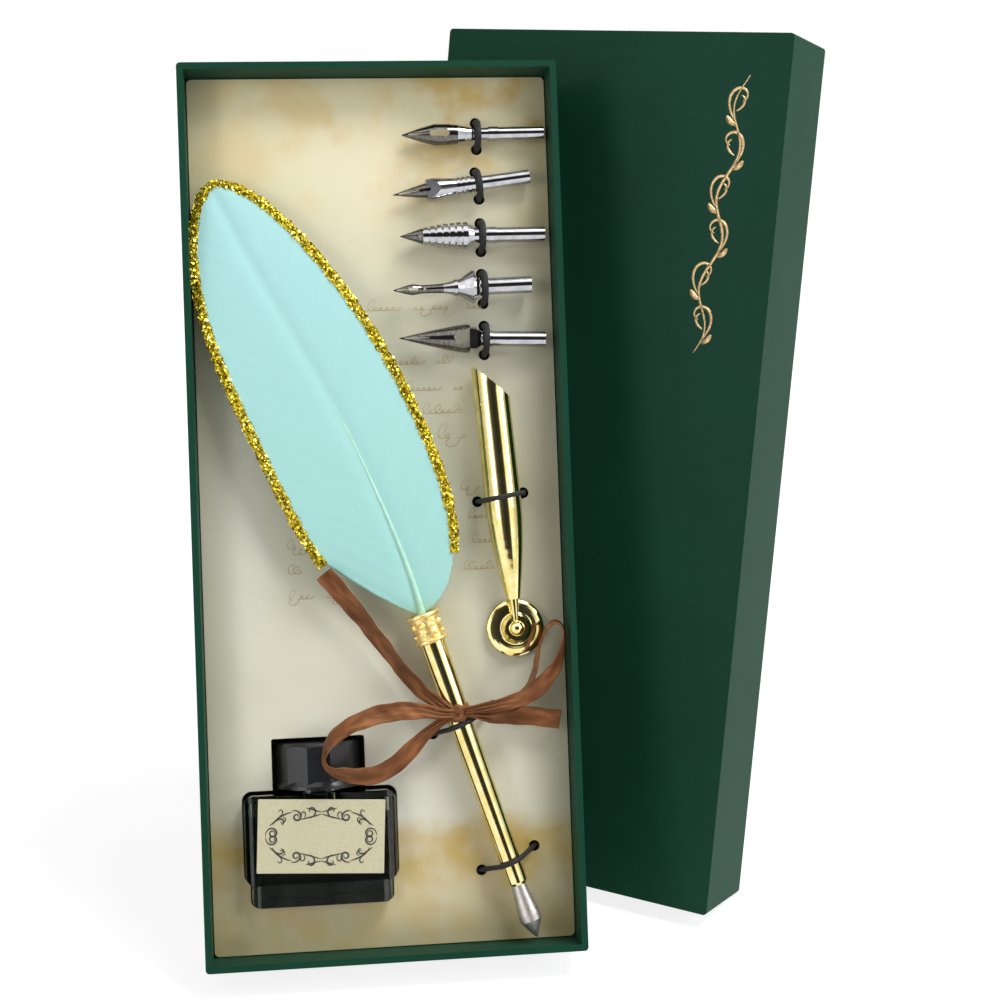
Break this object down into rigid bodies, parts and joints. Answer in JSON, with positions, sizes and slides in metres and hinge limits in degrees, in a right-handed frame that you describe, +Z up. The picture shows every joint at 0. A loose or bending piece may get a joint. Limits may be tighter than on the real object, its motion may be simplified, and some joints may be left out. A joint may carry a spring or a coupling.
{
  "type": "calligraphy set box",
  "caption": "Gift set of a feather quill pen, ink bottle, pen stand and spare nibs on a printed platform in an open tray that leans on its lid.",
  "frame": {"origin": "on the floor, under the middle of the bounding box of the tray and the lid standing behind it", "axes": "+Z up; the open side of the tray faces -Y; +X to the right seen from the open side"},
  "size_m": [0.2029, 0.1586, 0.2778],
  "materials": {
    "greyboard": "raw",
    "green_covering": "embossed, satin",
    "printed_card": "matt print",
    "bottle_glass": "moulded",
    "ink": "liquid",
    "label_paper": "matt print",
    "black_plastic": "moulded",
    "liner": "foam",
    "gold_metal": "polished gold plating",
    "cast_gold": "cast and gold plated",
    "feed": "moulded",
    "nib_steel": "rolled",
    "chrome_steel": "plated",
    "quill": "waxy",
    "feather": "dyed feather",
    "glitter": "glued glitter",
    "felt": "felt",
    "elastic": "covered elastic",
    "satin": "satin"
  },
  "bodies": {
    "tray": {"tray_board": "greyboard", "tray_wrap": "green_covering"},
    "lid": {"lid_board": "greyboard", "lid_wrap": "green_covering"},
    "platform": {"insert_card": "printed_card", "nib_tie_1": "elastic", "nib_tie_2": "elastic", "nib_tie_3": "elastic", "nib_tie_4": "elastic", "nib_tie_5": "elastic", "stand_tie": "elastic", "pen_tie_upper": "elastic", "pen_tie_lower": "elastic"},
    "ink_bottle": {"bottle_glass": "bottle_glass", "ink": "ink", "bottle_label": "label_paper"},
    "cap_liner": {"cap_liner": "liner"},
    "cap": {"bottle_cap": "black_plastic"},
    "quill_pen": {"pen_barrel": "gold_metal", "pen_ferrule": "cast_gold", "nib_plug": "feed", "pen_nib": "nib_steel", "feather_shaft": "quill", "feather_vane": "feather", "glitter_edge": "glitter", "ribbon_knot": "satin", "ribbon_loop_left": "satin", "ribbon_loop_right": "satin", "ribbon_tail_left": "satin", "ribbon_tail_right": "satin"},
    "stand_foot": {"stand_felt": "felt", "stand_base": "gold_metal", "stand_collar": "gold_metal"},
    "stand_ball": {"stand_ball": "gold_metal"},
    "stand_tube": {"stand_tube": "gold_metal"},
    "spare_nib_1": {"spare_point_1": "nib_steel", "spare_shank_1": "chrome_steel"},
    "spare_nib_2": {"spare_point_2": "nib_steel", "spare_shank_2": "chrome_steel"},
    "spare_nib_3": {"spare_point_3": "nib_steel", "spare_shank_3": "chrome_steel"},
    "spare_nib_4": {"spare_point_4": "nib_steel", "spare_shank_4": "chrome_steel"},
    "spare_nib_5": {"spare_point_5": "nib_steel", "spare_shank_5": "chrome_steel"}
  },
  "joints": [
    {"name": "lid_slide", "type": "slide", "parent": "tray", "child": "lid", "axis": [0.1045, 0.1493, 0.9833], "range_m": [0, 0.28]},
    {"name": "platform_lift", "type": "slide", "parent": "tray", "child": "platform", "axis": [0, -0.9563, 0.2924], "range_m": [0, 0.06]},
    {"name": "bottle_lift", "type": "slide", "parent": "tray", "child": "ink_bottle", "axis": [0, -0.9563, 0.2924], "range_m": [0, 0.06], "deforming": ["ribbon_loop_left"]},
    {"name": "cap_rise", "type": "slide", "parent": "ink_bottle", "child": "cap_liner", "axis": [0, 0.2924, 0.9563], "range_m": [0, 0.00108]},
    {"name": "cap_turn", "type": "hinge", "parent": "cap_liner", "child": "cap", "pos_m": [-0.06598, -0.04541, 0.06117], "axis": [0, 0.2924, 0.9563], "range_deg": [0, 130]},
    {"name": "pen_lift", "type": "slide", "parent": "platform", "child": "quill_pen", "axis": [0, -0.9563, 0.2924], "range_m": [0, 0.045], "deforming": ["pen_tie_upper", "pen_tie_lower"]},
    {"name": "stand_lift", "type": "slide", "parent": "platform", "child": "stand_foot", "axis": [0, -0.9563, 0.2924], "range_m": [0, 0.04], "deforming": ["stand_tie", "ribbon_loop_right"]},
    {"name": "stand_tilt", "type": "hinge", "parent": "stand_foot", "child": "stand_ball", "pos_m": [-0.00418, -0.04478, 0.10187], "axis": [0.9974, 0.0209, 0.0684], "range_deg": [0, 90]},
    {"name": "stand_spin", "type": "hinge", "parent": "stand_ball", "child": "stand_tube", "pos_m": [-0.00418, -0.04478, 0.10187], "axis": [-0.0715, 0.2916, 0.9539], "continuous": true},
    {"name": "nib_slide_1", "type": "slide", "parent": "platform", "child": "spare_nib_1", "axis": [-1, -0.002, -0.0067], "range_m": [0, 0.022]},
    {"name": "nib_slide_2", "type": "slide", "parent": "platform", "child": "spare_nib_2", "axis": [-0.9925, -0.0356, -0.1165], "range_m": [0, 0.018]},
    {"name": "nib_slide_3", "type": "slide", "parent": "platform", "child": "spare_nib_3", "axis": [-1, 0, 0], "range_m": [0, 0.021]},
    {"name": "nib_slide_4", "type": "slide", "parent": "platform", "child": "spare_nib_4", "axis": [-0.9997, -0.0071, -0.0234], "range_m": [0, 0.017]},
    {"name": "nib_slide_5", "type": "slide", "parent": "platform", "child": "spare_nib_5", "axis": [-0.9996, 0.0082, 0.0267], "range_m": [0, 0.02]}
  ],
  "couplings": [
    {"joint": "cap_rise", "follows": "cap_turn", "m_per_rad": 0.00047746}
  ]
}
